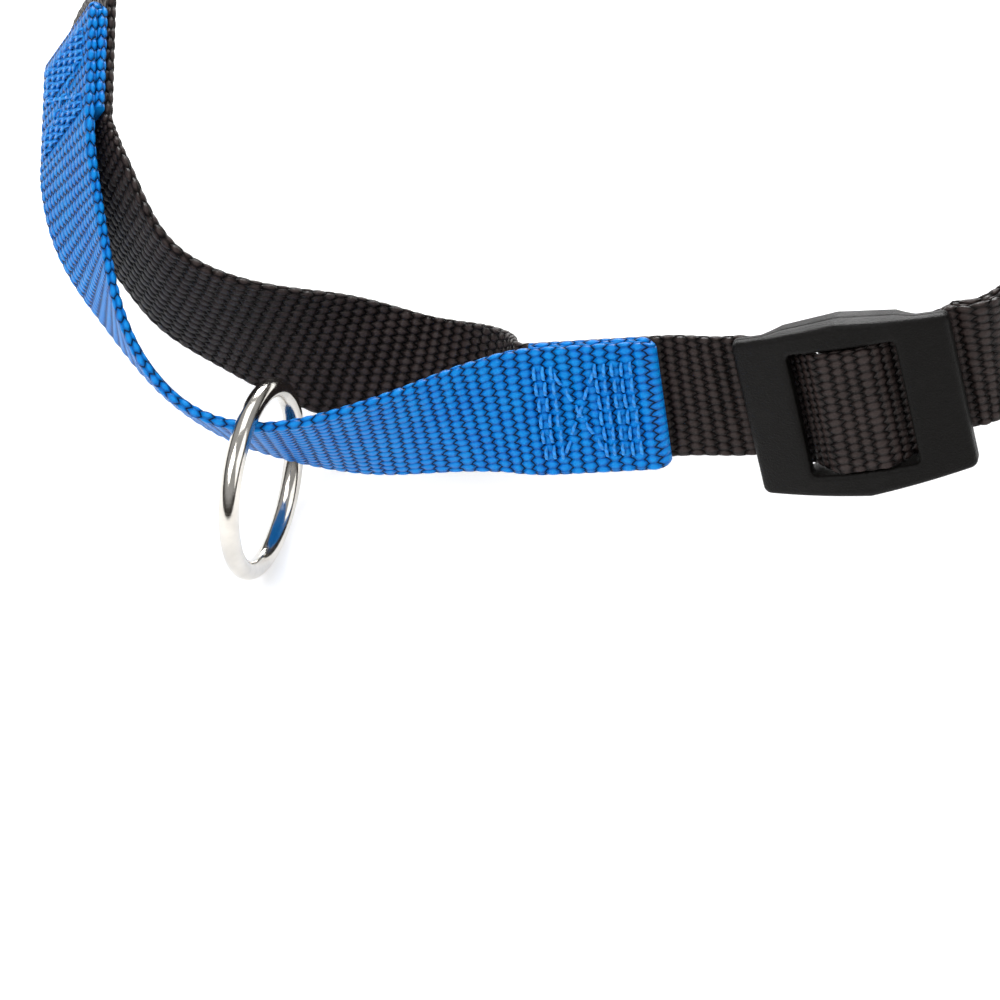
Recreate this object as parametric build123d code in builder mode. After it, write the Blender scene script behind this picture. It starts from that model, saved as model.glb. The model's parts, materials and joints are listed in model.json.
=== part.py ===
"""Slip-over martingale collar: nylon neck strap, sewn control strap with a pull ring, and a slider.

Units are millimetres. The origin is the middle of the neck opening, +Z runs along the neck
towards the head, and -Y is the front, where the pull ring hangs.
"""
from build123d import *
import os
import numpy as np
from math import cos, radians, sin

os.makedirs("parts", exist_ok=True)

# ---------------------------------------------------------------- driving dimensions
WEB_WIDTH = 25.4            # one inch webbing
WEB_THICK = 2.0
SEWN_GAP = 0.05             # between two layers that are sewn together
LAYER = WEB_THICK + SEWN_GAP
SECTION_STEP = 6.0          # spacing of the cross-sections along a strap

PATCH_LENGTH = 25.0         # folded and sewn end of the control strap
THREAD = 0.7                # width of a stitch
THREAD_RISE = 0.4           # height of a stitch above the webbing
STITCH = 2.4                # length of a stitch
STITCH_PITCH = 3.0
ROW_PITCH = 2.1             # between rows of stitches
ROW_LENGTH = 18.5

RING_WIRE = 4.0
RING_INSIDE = 32.0          # one and a quarter inch ring
RING_PLAY = 0.3             # between the ring and the edges of the strap it hangs on

SLIDER_LENGTH = 42.0
SLIDER_END_HEIGHT = 32.0
SLIDER_MID_HEIGHT = 36.5
SLIDER_PLATE = 3.2          # thickness of the bent plate
RAIL_LENGTH = 22.0          # two ribs behind the plate, above and below the window, hold the bar
RAIL_WIDTH = 2.6
RAIL_LOW = 1.0              # heights of the ribs' two faces above the middle of the flat strap
RAIL_HIGH = 4.6
SLIDER_RISE = 3.0           # how far the middle stands out beyond the ends
SLIDER_CLEAR = 0.3          # between an end plate and the strap under it
SLIDER_CORNER = 1.2
WINDOW_LENGTH = 21.0
WINDOW_HEIGHT = 26.8
BAR_WIDTH = 6.0
BAR_THICK = 1.8
BAR_CORNER = 0.85
BAR_HEIGHT = 3.1            # middle of the bar above the middle of the flat strap
BAR_ROOT = 1.0              # how deep the bar's ends are set into the ribs
WRAP_THICK = 1.8            # webbing pressed flat round the bar

KEEPER_WIRE = 4.0
KEEPER_SPACING = 16.0       # between the middles of its two bars
KEEPER_HEIGHT = 31.5        # between the middles of its two ends
KEEPER_BEND = 3.0
KEEPER_STRAIGHT = 30.0      # straight webbing on each side of the keeper
TAIL_START = 2.0            # the turned-back tail leaves the keeper's bar here,
TAIL_END = 8.0              # and lies against the strap from here
TAIL_BEND = 2.5

# The strap pieces that stay still end just under the slider's end plates, and the pieces that ride
# on the slider end short of them, so that the slider can travel both ways.
STRAP_END = 20.5
RIDER_END = 12.0
RETURN_START = 23.2         # where the doubled return's inner layer starts
SEWN_LEG = 14.6             # where the sewn end round the slider's bar stops
SLIDER_STRAIGHT = 25.0
SEWN_STRAIGHT = 14.0        # straight webbing each way from the middle of a sewn patch

# ---------------------------------------------------------------- places of the hardware
# Each place is a point on the middle of the neck strap's thickness, its direction, and its lean:
# the angle in degrees by which the strap's upper edge tips outwards (negative is inwards).
LEFT_PATCH = ((-102.4, -3.9, 13.6), (0.01, -0.965, -0.26), -25.0)
RIGHT_PATCH = ((0.0, -71.9, -5.1), (0.972, -0.117, 0.204), -22.0)
SLIDER_PLACE = ((48.3, -78.7, 3.3), (0.955, -0.088, 0.282), -21.0)
SLIDER_STRAP = ((47.8, -76.9, 5.5), (0.955, -0.088, 0.282), -21.0)    # the strap beside the slider
KEEPER_PLACE = ((28.0, 79.5, 15.0), (-0.998, 0.03, 0.05), -11.0)

# Stations along the straps between those places: x, y, z and lean.
BACK_LEFT = [(-33, 76, 17.5, -18), (-62, 63.5, 18, -24), (-85, 46, 18, -30), (-98.5, 27, 17.5, -31)]
FRONT_LEFT = [
    (-96.5, -31, 6, -14),
    (-85, -45, -1.5, 0),
    (-69, -50, -8, -3),
    (-50, -50.5, -16, -35),
    (-36, -53.5, -18.5, -54),
    (-22, -62.5, -13, -34),
]
RIGHT_SIDE = [
    (80, -73, 11.5, -25),
    (94, -60, 11, -26),
    (106, -40, 10, -24),
    (112, -14, 9.5, -20),
    (111, 14, 10.5, -16),
    (103, 39, 11.5, -13),
    (85, 63, 12.5, -11),
]
CONTROL_SPAN = [
    (-103.5, -32.5, 5, -17),
    (-98, -45.5, -1.5, 1),
    (-89, -60, -9, 22),
    (-76, -70.5, -13.5, 34),
    (-60, -75, -14, 27),
    (-44, -75.5, -12, 9),
    (-28, -73.5, -9.5, -8),
]
RING_STATION = (-64.6, -74.2, -14.2)    # where the control strap lies in the ring
RING_UP = (0.208, 0.831, 0.515)         # from the ring's middle towards the strap
RING_CHORD = (-0.231, -0.470, 0.850)    # across the strap, from its lower to its upper edge


# ---------------------------------------------------------------- strap geometry
def unit(vector):
    """The same direction with length one."""
    return Vector(*vector).normalized()


def strap_axes(tangent, lean):
    """Tangent, width and outward directions of webbing that runs along the tangent."""
    along = unit(tangent)
    level = along.cross(Vector(0, 0, 1)).normalized()
    upright = level.cross(along)
    width = upright * cos(radians(lean)) + level * sin(radians(lean))
    return along, width, along.cross(width)


def place_point(place, along, out):
    """A point beside a place, by its distances along and outwards."""
    tangent, _, outward = strap_axes(place[1], place[2])
    return Vector(*place[0]) + tangent * along + outward * out


def profile_plane(place):
    """The plane of a strap seen edge-on: x along the strap and y outwards."""
    tangent, width, _ = strap_axes(place[1], place[2])
    return Plane(origin=place[0], x_dir=tangent, z_dir=width * -1)


def face_plane(place, out):
    """The plane of a strap's face at a distance outwards: x along the strap, y across it."""
    tangent, _, outward = strap_axes(place[1], place[2])
    return Plane(origin=place_point(place, 0, out), x_dir=tangent, z_dir=outward)


def station(place, along, out=0.0):
    """A route station beside a place."""
    return (*place_point(place, along, out), place[2])


def smooth_route(stations, first_tangent, last_tangent):
    """Points and tangents of the smooth curve through the stations, one per section step."""
    rows = np.array([list(row) for row in stations], dtype=float)
    spans = np.linalg.norm(np.diff(rows[:, :3], axis=0), axis=1)
    knots = np.concatenate([[0.0], np.cumsum(spans)])
    count = len(rows)
    matrix = np.eye(count)
    slopes = np.zeros((count, 4))
    slopes[0, :3] = tuple(unit(first_tangent))
    slopes[-1, :3] = tuple(unit(last_tangent))
    rises = np.diff(rows, axis=0) / spans[:, None]
    for i in range(1, count - 1):
        matrix[i, i - 1] = spans[i]
        matrix[i, i] = 2 * (spans[i - 1] + spans[i])
        matrix[i, i + 1] = spans[i - 1]
        slopes[i] = 3 * (spans[i] * rises[i - 1] + spans[i - 1] * rises[i])
    slopes = np.linalg.solve(matrix, slopes)
    route = []
    for distance in np.linspace(0, knots[-1], max(3, round(knots[-1] / SECTION_STEP) + 1)):
        i = min(int(np.searchsorted(knots, distance, side="right")) - 1, count - 2)
        u = (distance - knots[i]) / spans[i]
        start, end = rows[i], rows[i + 1]
        leave, arrive = slopes[i] * spans[i], slopes[i + 1] * spans[i]
        value = (
            start * (2 * u**3 - 3 * u**2 + 1)
            + leave * (u**3 - 2 * u**2 + u)
            + end * (3 * u**2 - 2 * u**3)
            + arrive * (u**3 - u**2)
        )
        slope = (
            (start - end) * (6 * u**2 - 6 * u)
            + leave * (3 * u**2 - 4 * u + 1)
            + arrive * (3 * u**2 - 2 * u)
        )
        route.append((Vector(*value[:3]), Vector(*slope[:3]), float(value[3])))
    return route


def cross_sections(route, out=0.0):
    """Planes across the route, each shifted outwards by the same distance."""
    planes = []
    for point, tangent, lean in route:
        along, _, outward = strap_axes(tangent, lean)
        planes.append(Plane(origin=point + outward * out, x_dir=outward, z_dir=along))
    return planes


# ---------------------------------------------------------------- routes
def straight_end(place, along):
    """The last section of a straight stretch beside a place."""
    return place_point(place, along, 0), Vector(*place[1]), place[2]


neck_route = (
    smooth_route(
        [station(KEEPER_PLACE, KEEPER_STRAIGHT)] + BACK_LEFT + [station(LEFT_PATCH, -SEWN_STRAIGHT)],
        KEEPER_PLACE[1],
        LEFT_PATCH[1],
    )
    + smooth_route(
        [station(LEFT_PATCH, SEWN_STRAIGHT)] + FRONT_LEFT + [station(RIGHT_PATCH, -SEWN_STRAIGHT)],
        LEFT_PATCH[1],
        RIGHT_PATCH[1],
    )
    + smooth_route(
        [station(RIGHT_PATCH, SEWN_STRAIGHT), station(SLIDER_STRAP, -SLIDER_STRAIGHT)],
        RIGHT_PATCH[1],
        SLIDER_STRAP[1],
    )
    + [straight_end(SLIDER_STRAP, -STRAP_END)]
)
return_route = smooth_route(
    [station(SLIDER_STRAP, RETURN_START)] + RIGHT_SIDE + [station(KEEPER_PLACE, -KEEPER_STRAIGHT)],
    SLIDER_STRAP[1],
    KEEPER_PLACE[1],
)
CONTROL_OUT = 2 * LAYER     # the control strap's outer layer above the neck strap's middle
control_route = smooth_route(
    [station(LEFT_PATCH, PATCH_LENGTH / 2, CONTROL_OUT)]
    + CONTROL_SPAN
    + [station(RIGHT_PATCH, -PATCH_LENGTH / 2, CONTROL_OUT)],
    LEFT_PATCH[1],
    RIGHT_PATCH[1],
)

# ---------------------------------------------------------------- neck strap, long run
bar_out = -(KEEPER_WIRE / 2 + WEB_THICK / 2 + SLIDER_CLEAR)    # the keeper's bars lie inside the strap
turn = -bar_out                                                # radius of the webbing round a bar
bar_along = KEEPER_SPACING / 2
tail_out = 2 * bar_out

with BuildPart() as neck_strap:
    for plane in cross_sections(neck_route):
        with BuildSketch(plane):
            Rectangle(WEB_THICK, WEB_WIDTH)
    loft(ruled=True)
    with BuildSketch(profile_plane(KEEPER_PLACE)):
        with BuildLine():
            Line((KEEPER_STRAIGHT, 0), (bar_along, 0))
            ThreePointArc((bar_along, 0), (bar_along - turn, bar_out), (bar_along, tail_out))
            FilletPolyline(
                (bar_along, tail_out),
                (bar_along + TAIL_START, tail_out),
                (bar_along + TAIL_END, -LAYER),
                (KEEPER_STRAIGHT + TAIL_START, -LAYER),
                radius=TAIL_BEND,
            )
        trace(line_width=WEB_THICK)
    extrude(amount=WEB_WIDTH / 2, both=True)
neck_strap.part.label = "neck_strap"
export_step(neck_strap.part, "parts/neck_strap.step")

# ---------------------------------------------------------------- neck strap, doubled return
with BuildPart() as return_strap:
    for plane in cross_sections([straight_end(SLIDER_STRAP, STRAP_END)] + return_route):
        with BuildSketch(plane):
            Rectangle(WEB_THICK, WEB_WIDTH)
    loft(ruled=True)
    for plane in cross_sections(return_route, -LAYER):
        with BuildSketch(plane):
            Rectangle(WEB_THICK, WEB_WIDTH)
    loft(ruled=True)
    with BuildSketch(profile_plane(KEEPER_PLACE)):
        with BuildLine():
            Line((-KEEPER_STRAIGHT, 0), (-bar_along, 0))
            ThreePointArc((-bar_along, 0), (turn - bar_along, bar_out), (-bar_along, tail_out))
            FilletPolyline(
                (-bar_along, tail_out),
                (-bar_along - TAIL_START, tail_out),
                (-bar_along - TAIL_END, -LAYER),
                (-KEEPER_STRAIGHT, -LAYER),
                radius=TAIL_BEND,
            )
        trace(line_width=WEB_THICK)
    extrude(amount=WEB_WIDTH / 2, both=True)
return_strap.part.label = "return_strap"
export_step(return_strap.part, "parts/return_strap.step")

# ---------------------------------------------------------------- control strap
block_middle = WEB_THICK / 2 + SEWN_GAP + LAYER - SEWN_GAP / 2    # of the two folded layers


def folded_end(place, fold):
    """Two layers of webbing with a rounded fold at the end that fold, 1 or -1, points to."""
    half_thick = (LAYER + WEB_THICK) / 2
    inner, outer = block_middle - half_thick, block_middle + half_thick
    reach = PATCH_LENGTH / 2
    bend_start = fold * (reach - half_thick)
    with BuildSketch(profile_plane(place)) as profile:
        with BuildLine():
            Line((-fold * reach, inner), (bend_start, inner))
            ThreePointArc((bend_start, inner), (fold * reach, block_middle), (bend_start, outer))
            Line((bend_start, outer), (-fold * reach, outer))
            Line((-fold * reach, outer), (-fold * reach, inner))
        make_face()
    extrude(profile.sketch, amount=WEB_WIDTH / 2, both=True)


with BuildPart() as control_strap:
    for plane in cross_sections(control_route):
        with BuildSketch(plane):
            Rectangle(WEB_THICK, WEB_WIDTH)
    loft(ruled=True)
    folded_end(LEFT_PATCH, -1)
    folded_end(RIGHT_PATCH, 1)
control_strap.part.label = "control_strap"
export_step(control_strap.part, "parts/control_strap.step")


# ---------------------------------------------------------------- sewing thread
def stitch_row(along, length):
    """Stitches across the strap at one distance along it."""
    count = int(length // STITCH_PITCH)
    with Locations((along, 0)):
        with GridLocations(1, STITCH_PITCH, 1, count):
            Rectangle(THREAD, STITCH)


def stitch_diagonal(start, end, length):
    """Stitches on a slanting line between two distances along the strap."""
    count = int(length // STITCH_PITCH)
    slant = np.degrees(np.arctan2(length, end - start))
    for i in range(count):
        share = (i + 0.5) / count
        with Locations(Location((start + (end - start) * share, length * (share - 0.5), 0), slant)):
            Rectangle(STITCH, THREAD)


def box_and_cross(place, fold, out):
    """The sewn pattern: three rows at the cut end, five at the fold, and a cross between them."""
    reach = PATCH_LENGTH / 2
    with BuildSketch(face_plane(place, out)) as pattern:
        for i in range(5):
            stitch_row(fold * (reach - 3.5 - ROW_PITCH * i), ROW_LENGTH)
        for i in range(3):
            stitch_row(-fold * (reach - 1.5 - ROW_PITCH * i), ROW_LENGTH)
        stitch_diagonal(-5.3, 1.5, ROW_LENGTH)
    extrude(pattern.sketch, amount=THREAD_RISE)


outer_face = block_middle + (LAYER + WEB_THICK) / 2
inner_face = -WEB_THICK / 2 - THREAD_RISE

with BuildPart() as control_thread_left:
    box_and_cross(LEFT_PATCH, -1, outer_face)
    box_and_cross(LEFT_PATCH, -1, inner_face)
control_thread_left.part.label = "control_thread_left"
export_step(control_thread_left.part, "parts/control_thread_left.step")

with BuildPart() as control_thread_right:
    box_and_cross(RIGHT_PATCH, 1, outer_face)
    box_and_cross(RIGHT_PATCH, 1, inner_face)
control_thread_right.part.label = "control_thread_right"
export_step(control_thread_right.part, "parts/control_thread_right.step")

with BuildPart() as keeper_thread:
    for out in (WEB_THICK / 2, -LAYER - WEB_THICK / 2 - THREAD_RISE):
        with BuildSketch(face_plane(KEEPER_PLACE, out)):
            for i in range(4):
                stitch_row(bar_along + 11 + ROW_PITCH * i, ROW_LENGTH)
        extrude(amount=THREAD_RISE)
keeper_thread.part.label = "keeper_thread"
export_step(keeper_thread.part, "parts/keeper_thread.step")

# ---------------------------------------------------------------- keeper loop
with BuildPart() as keeper_loop:
    keeper_plane = face_plane(KEEPER_PLACE, bar_out)
    with BuildLine(keeper_plane) as keeper_path:
        FilletPolyline(
            (-KEEPER_SPACING / 2, -KEEPER_HEIGHT / 2),
            (KEEPER_SPACING / 2, -KEEPER_HEIGHT / 2),
            (KEEPER_SPACING / 2, KEEPER_HEIGHT / 2),
            (-KEEPER_SPACING / 2, KEEPER_HEIGHT / 2),
            radius=KEEPER_BEND,
            close=True,
        )
    with BuildSketch(Plane(origin=keeper_path.line @ 0, z_dir=keeper_path.line % 0)):
        Circle(KEEPER_WIRE / 2)
    sweep()
keeper_loop.part.label = "keeper_loop"
export_step(keeper_loop.part, "parts/keeper_loop.step")

# ---------------------------------------------------------------- pull ring
ring_radius = (RING_INSIDE + RING_WIRE) / 2
half_chord = WEB_WIDTH / 2 + RING_PLAY
reach_inside = RING_INSIDE / 2 - RING_PLAY
drop = (reach_inside**2 - half_chord**2) ** 0.5 - WEB_THICK / 2
ring_up = unit(RING_UP)
ring_chord = (unit(RING_CHORD) - ring_up * unit(RING_CHORD).dot(ring_up)).normalized()
ring_centre = Vector(*RING_STATION) - ring_up * drop
ring_axis = ring_up.cross(ring_chord)

with BuildPart() as pull_ring:
    with BuildSketch(Plane(origin=ring_centre, x_dir=ring_up, z_dir=ring_chord)):
        with Locations((ring_radius, 0)):
            Circle(RING_WIRE / 2)
    revolve(axis=Axis(ring_centre, ring_axis), revolution_arc=360)
pull_ring.part.label = "pull_ring"
export_step(pull_ring.part, "parts/pull_ring.step")

# ---------------------------------------------------------------- slider
slider_profile = profile_plane(SLIDER_PLACE)
slider_face = face_plane(SLIDER_PLACE, 0)
half_slider = SLIDER_LENGTH / 2
end_top = WEB_THICK / 2 + SLIDER_CLEAR + SLIDER_PLATE


def curved_slab(top, bottom, half_height, mode):
    """A slab bent over the strap, between two parallel arcs given by their heights at the ends."""
    with BuildSketch(slider_profile) as profile:
        with BuildLine():
            ThreePointArc((-half_slider, top), (0, top + SLIDER_RISE), (half_slider, top))
            Line((half_slider, top), (half_slider, bottom))
            ThreePointArc((half_slider, bottom), (0, bottom + SLIDER_RISE), (-half_slider, bottom))
            Line((-half_slider, bottom), (-half_slider, top))
        make_face()
    extrude(profile.sketch, amount=half_height, both=True, mode=mode)


with BuildPart() as slider:
    curved_slab(end_top, end_top - SLIDER_PLATE, SLIDER_MID_HEIGHT, Mode.ADD)
    with BuildSketch(slider_face):
        with BuildLine():
            Polyline(
                (-half_slider, -SLIDER_END_HEIGHT / 2),
                (0, -SLIDER_MID_HEIGHT / 2),
                (half_slider, -SLIDER_END_HEIGHT / 2),
                (half_slider, SLIDER_END_HEIGHT / 2),
                (0, SLIDER_MID_HEIGHT / 2),
                (-half_slider, SLIDER_END_HEIGHT / 2),
                close=True,
            )
        make_face()
        fillet(vertices(), radius=SLIDER_CORNER)
    extrude(amount=SLIDER_LENGTH, both=True, mode=Mode.INTERSECT)
    with BuildSketch(slider_face):
        Rectangle(WINDOW_LENGTH, WINDOW_HEIGHT)
    extrude(amount=SLIDER_LENGTH, both=True, mode=Mode.SUBTRACT)
    with BuildSketch(face_plane(SLIDER_PLACE, RAIL_LOW)):
        with GridLocations(1, WINDOW_HEIGHT + RAIL_WIDTH, 1, 2):
            Rectangle(RAIL_LENGTH, RAIL_WIDTH)
    extrude(amount=RAIL_HIGH - RAIL_LOW)
    with BuildSketch(slider_profile):
        with Locations((0, BAR_HEIGHT)):
            RectangleRounded(BAR_WIDTH, BAR_THICK, BAR_CORNER)
    extrude(amount=WINDOW_HEIGHT / 2 + BAR_ROOT, both=True)
slider.part.label = "slider"
export_step(slider.part, "parts/slider.step")

# ---------------------------------------------------------------- webbing through the slider
wrap_out = BAR_THICK / 2 + SEWN_GAP + WRAP_THICK / 2    # of the sewn end from the bar's middle
bight_top = BAR_HEIGHT + wrap_out + WRAP_THICK / 2 + SEWN_GAP + WEB_THICK / 2
bar_half = BAR_WIDTH / 2

with BuildPart() as strap_bight:
    with BuildSketch(slider_profile):
        with BuildLine():
            FilletPolyline(
                (-RIDER_END, 0),
                (-bar_half - 8.0, 0),
                (-bar_half - 1.6, bight_top),
                (bar_half + 1.6, bight_top),
                (bar_half + 8.0, 0),
                (RIDER_END, 0),
                radius=1.5,
            )
        trace(line_width=WEB_THICK)
    extrude(amount=WEB_WIDTH / 2, both=True)
strap_bight.part.label = "strap_bight"
export_step(strap_bight.part, "parts/strap_bight.step")

leg_upper = -WEB_THICK / 2 - SEWN_GAP - WRAP_THICK / 2
leg_lower = leg_upper - WRAP_THICK - SEWN_GAP

with BuildPart() as sewn_end:
    with BuildSketch(slider_profile):
        with BuildLine():
            FilletPolyline(
                (SEWN_LEG, leg_upper),
                (bar_half + 6.85, leg_upper),
                (bar_half + 0.55, BAR_HEIGHT + wrap_out),
                (-bar_half - 0.95, BAR_HEIGHT + wrap_out),
                (-bar_half - 0.95, BAR_HEIGHT - wrap_out),
                (bar_half + 0.4, BAR_HEIGHT - wrap_out),
                (bar_half + 5.4, leg_lower),
                (SEWN_LEG, leg_lower),
                radius=1.3,
            )
        trace(line_width=WRAP_THICK)
    extrude(amount=WEB_WIDTH / 2, both=True)
sewn_end.part.label = "sewn_end"
export_step(sewn_end.part, "parts/sewn_end.step")

with BuildPart() as sewn_end_thread:
    with BuildSketch(face_plane(SLIDER_PLACE, leg_lower - WRAP_THICK / 2 - THREAD_RISE)):
        for i in range(2):
            stitch_row(SEWN_LEG - 1.8 - ROW_PITCH * i, ROW_LENGTH)
    extrude(amount=THREAD_RISE)
sewn_end_thread.part.label = "sewn_end_thread"
export_step(sewn_end_thread.part, "parts/sewn_end_thread.step")
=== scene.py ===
import json
import math

import bpy
import numpy as np
from bpy.props import FloatProperty, FloatVectorProperty, PointerProperty
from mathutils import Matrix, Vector


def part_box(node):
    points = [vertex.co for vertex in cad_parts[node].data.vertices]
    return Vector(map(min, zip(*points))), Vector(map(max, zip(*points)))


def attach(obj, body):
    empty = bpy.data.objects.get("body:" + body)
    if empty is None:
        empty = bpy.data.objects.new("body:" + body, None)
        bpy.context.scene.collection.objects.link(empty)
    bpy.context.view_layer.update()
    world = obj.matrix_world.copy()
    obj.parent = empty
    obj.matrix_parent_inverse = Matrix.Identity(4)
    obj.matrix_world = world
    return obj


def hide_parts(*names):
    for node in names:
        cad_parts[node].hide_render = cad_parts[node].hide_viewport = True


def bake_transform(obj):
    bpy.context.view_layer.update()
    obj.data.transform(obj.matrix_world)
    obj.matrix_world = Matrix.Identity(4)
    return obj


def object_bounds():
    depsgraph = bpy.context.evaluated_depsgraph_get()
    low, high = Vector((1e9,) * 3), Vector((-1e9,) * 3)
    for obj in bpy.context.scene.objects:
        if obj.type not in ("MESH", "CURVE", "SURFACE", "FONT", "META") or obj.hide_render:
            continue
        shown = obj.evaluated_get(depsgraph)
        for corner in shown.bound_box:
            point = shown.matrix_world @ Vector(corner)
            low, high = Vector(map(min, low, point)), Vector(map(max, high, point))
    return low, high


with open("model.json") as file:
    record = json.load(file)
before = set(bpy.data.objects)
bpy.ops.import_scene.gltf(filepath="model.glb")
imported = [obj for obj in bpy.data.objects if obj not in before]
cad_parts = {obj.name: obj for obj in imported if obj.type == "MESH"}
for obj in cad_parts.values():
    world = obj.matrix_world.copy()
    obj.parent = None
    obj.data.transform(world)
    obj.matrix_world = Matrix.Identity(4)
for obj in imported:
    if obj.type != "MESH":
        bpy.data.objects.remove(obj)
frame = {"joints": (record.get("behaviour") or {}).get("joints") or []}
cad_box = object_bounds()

bl_info = {
    "name": "Martingale collar",
    "version": (1, 0, 0),
    "blender": (4, 5, 0),
    "location": "View3D > Sidebar > Collar",
    "description": "Builds a webbing martingale collar with its ring and slider round the packed frame",
    "category": "Add Mesh",
}

MM = 0.001
JOINTS = {joint["name"]: joint for joint in frame["joints"]}

# ---------------------------------------------------------------- places, in millimetres
# A place is a point on the middle of the neck strap, the strap's direction there, and its lean: how
# far its upper edge tips outwards, in degrees. Stations are x, y, z and lean. Both repeat the frame's.
LEFT_PATCH = ((-102.4, -3.9, 13.6), (0.01, -0.965, -0.26), -25.0)
RIGHT_PATCH = ((0.0, -71.9, -5.1), (0.972, -0.117, 0.204), -22.0)
KEEPER_PLACE = ((28.0, 79.5, 15.0), (-0.998, 0.03, 0.05), -11.0)
SLIDER_PLACE = (
    tuple(value / MM for value in JOINTS["slider_travel"]["pos_m"]),
    tuple(JOINTS["slider_travel"]["axis"]),
    -21.0,
)
SLIDER_STRAP = ((47.8, -76.9, 5.5), SLIDER_PLACE[1], SLIDER_PLACE[2])    # the strap beside the slider
BACK_LEFT = [(-33, 76, 17.5, -18), (-62, 63.5, 18, -24), (-85, 46, 18, -30), (-98.5, 27, 17.5, -31)]
FRONT_LEFT = [
    (-96.5, -31, 6, -14),
    (-85, -45, -1.5, 0),
    (-69, -50, -8, -3),
    (-50, -50.5, -16, -35),
    (-36, -53.5, -18.5, -54),
    (-22, -62.5, -13, -34),
]
RIGHT_SIDE = [
    (80, -73, 11.5, -25),
    (94, -60, 11, -26),
    (106, -40, 10, -24),
    (112, -14, 9.5, -20),
    (111, 14, 10.5, -16),
    (103, 39, 11.5, -13),
    (85, 63, 12.5, -11),
]
CONTROL_SPAN = [
    (-103.5, -32.5, 5, -17),
    (-98, -45.5, -1.5, 1),
    (-89, -60, -9, 22),
    (-76, -70.5, -13.5, 34),
    (-60, -75, -14, 27),
    (-44, -75.5, -12, 9),
    (-28, -73.5, -9.5, -8),
]

SEWN_GAP = 0.05
WEB_THICK = 2.0
WRAP_THICK = 1.8            # webbing pressed flat round the slider's bar
LAYER = WEB_THICK + SEWN_GAP
PATCH_REACH = 12.5          # half the length of a folded and sewn end
SEWN_STRAIGHT = 14.0        # straight webbing each way from the middle of a sewn patch
SLIDER_EDGE = 21.0          # half the slider's length, under which the strap eases onto the slider's line
RETURN_START = 23.2
SEWN_LEG = 14.6             # where the sewn end round the slider's bar stops
MEETING = 14.0              # where the two lengths of neck strap meet, under the right end plate
KEEPER_STRAIGHT = 30.0
KEEPER_SPACING = 16.0
TAIL_START = 2.0            # where the turned-back tail leaves the keeper's bar,
TAIL_END = 8.0              # and where it lies against the strap
KEEPER_HEIGHT = 31.5
KEEPER_WIRE = 4.0
KEEPER_OUT = -(KEEPER_WIRE / 2 + WEB_THICK / 2 + 0.3)    # the keeper's bars lie inside the strap
BAR_HALF = 3.0
BAR_THICK = 1.8
BAR_OUT = 3.1               # the slider bar's middle, out from the middle of the flat strap
RAMP_FOOT = BAR_HALF + 8.0  # where the webbing leaves the flat strap's line to climb over the bar
RAMP_HEAD = BAR_HALF + 1.6
RING_INSIDE = 32.0

# The slider's heights out from the middle of the flat strap, and its edges
SLIDER_TOP = 4.5            # front face at the slider's two ends
SLIDER_PLATE = 3.2
SLIDER_RISE = 3.0           # how much further out the front face stands in the middle
RAIL_START = 12.99          # the rails run behind the window's long edges, from here outwards
RAIL_STEP = 0.01
RAIL_REACH = 11.0
RAIL_FADE = 4.0
UPPER_RAIL_FOOT = 0.5
LOWER_RAIL_FOOT = -0.6
FRONT_EDGE = 0.9            # rounding of the front face's edges
BACK_EDGE = 0.3
OUTLINE_CORNER = 1.4
WINDOW_CORNER = 1.2
PARTING_GROOVE = 0.006      # depth of the mould's parting line, as a share of the distance outwards
SLIDER_SPOKES = 480
BAR_RINGS = 21

# How finely webbing is divided, and how its selvedges and sewn ends are shaped, in millimetres.
SECTION_COLUMNS = 32
SELVEDGE_STEPS = 9
ROWS_PER_RIB = 6
SELVEDGE = 0.42             # a selvedge's rounding, as a share of the webbing's thickness
SELVEDGE_SOFT = 0.8         # within this of the edge the ribs stand less high,
SELVEDGE_WIDE = 0.9         # and within this they bulge sideways
RIB_SINK = 0.7              # share of a rib's height that lies below the webbing's plain face
SEWN_SPREAD = 0.06
SPREAD_LENGTH = 46.0
SPREAD_FADE = 12.0
FOLD_PINCH = 0.07
FOLD_AT = 24.5
FOLD_BEND = 1.03            # radius of the webbing's middle in a fold
FOLD_WIDTH = 1.3


# ---------------------------------------------------------------- settings
def length(name, description, default):
    """A length setting, shown in the scene's units."""
    return FloatProperty(
        name=name, description=description, default=default, unit="LENGTH", subtype="DISTANCE"
    )


def colour(name, description, default):
    """A colour setting."""
    return FloatVectorProperty(
        name=name, description=description, default=default, size=3, min=0, max=1, subtype="COLOR"
    )


class WebbingSettings(bpy.types.PropertyGroup):
    """Sizes and colours of the nylon webbing."""

    width: length("Width", "Width of the webbing", 25.4 * MM)
    rib: length("Rib spacing", "Distance between the woven ribs along the webbing", 2.5 * MM)
    cell: length("Cell width", "Width of one woven cell across the webbing", 1.6 * MM)
    rib_height: length("Rib height", "How far a rib stands out", 0.28 * MM)
    black: colour("Neck colour", "Yarn colour of the neck strap", (0.0075, 0.0050, 0.0046))
    blue: colour("Control colour", "Yarn colour of the control strap", (0.0, 0.138, 0.62))


class ThreadSettings(bpy.types.PropertyGroup):
    """Sizes and colours of the sewing thread."""

    radius: length("Thread radius", "Half the thickness of the thread", 0.37 * MM)
    stitch: length("Stitch length", "Length of one stitch", 3.0 * MM)
    pitch: length("Stitch spacing", "Distance from one stitch to the next", 3.35 * MM)
    blue: colour("Blue thread", "Colour of the thread in the control strap", (0.005, 0.30, 0.90))
    black: colour("Black thread", "Colour of the thread in the neck strap", (0.018, 0.014, 0.014))


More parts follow.
